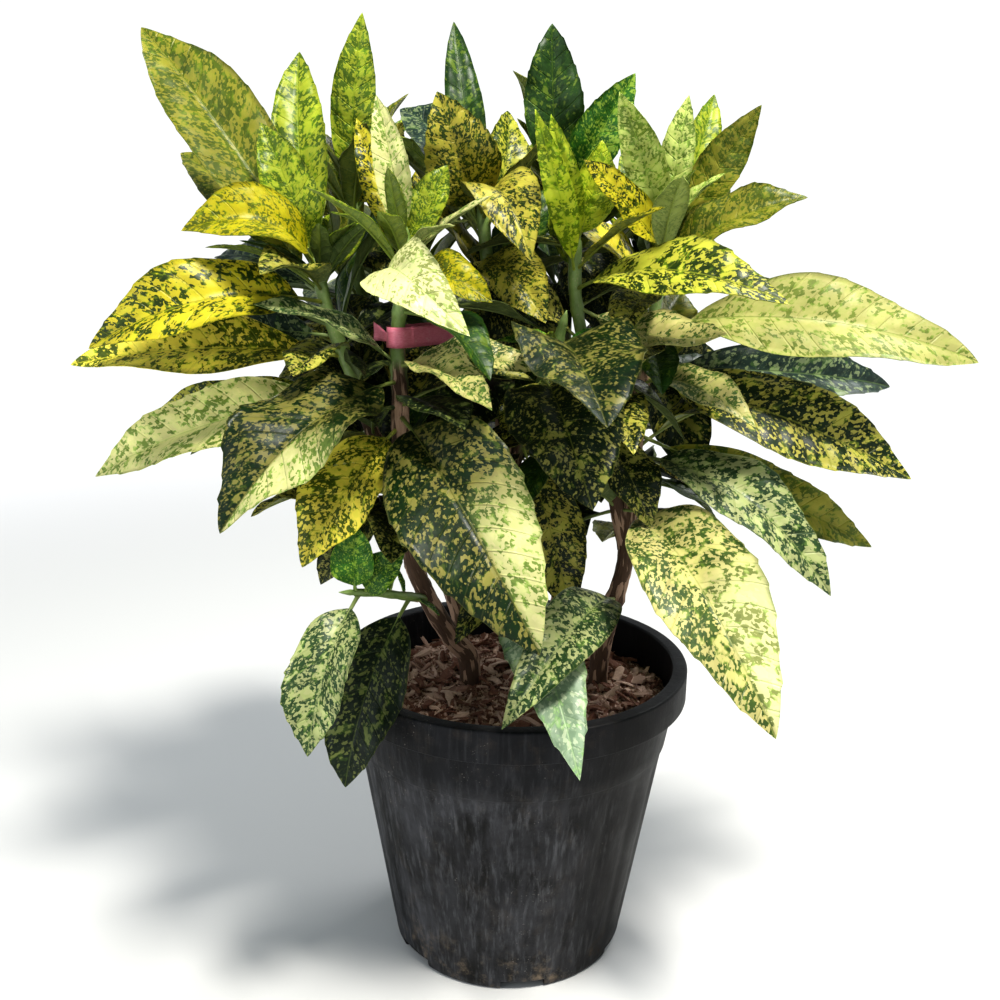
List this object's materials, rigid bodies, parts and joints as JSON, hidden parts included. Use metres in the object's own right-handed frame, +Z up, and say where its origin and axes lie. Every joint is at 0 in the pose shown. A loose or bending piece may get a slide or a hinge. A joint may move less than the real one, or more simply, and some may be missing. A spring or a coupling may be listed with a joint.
{
  "type": "potted japanese laurel",
  "caption": "Bushy gold-dusted Japanese laurel with toothed, speckled leaves on woody stems, growing in a tapered black nursery pot of bark compost.",
  "frame": {"origin": "centre of the pot's foot ring, on the surface that it stands on", "axes": "+Z up; the side in the picture faces -Y; +X is to the viewer's right"},
  "size_m": [0.6612, 0.4372, 0.7552],
  "materials": {
    "pot": "dusty black moulded plastic, satin on the rim",
    "soil": "rough reddish-brown bark chips",
    "stem_tie": "pink plastic ribbon",
    "leafy_stems": "glossy leathery leaves, dark green with gold blotches and specks"
  },
  "bodies": {
    "root": {"pot": "pot", "soil": "soil", "stem_tie": "stem_tie", "leafy_stem_front": "leafy_stems", "leafy_stem_right": "leafy_stems", "leafy_stem_middle": "leafy_stems", "leafy_stem_back_left": "leafy_stems", "leafy_stem_back_right": "leafy_stems"}
  },
  "joints": []
}
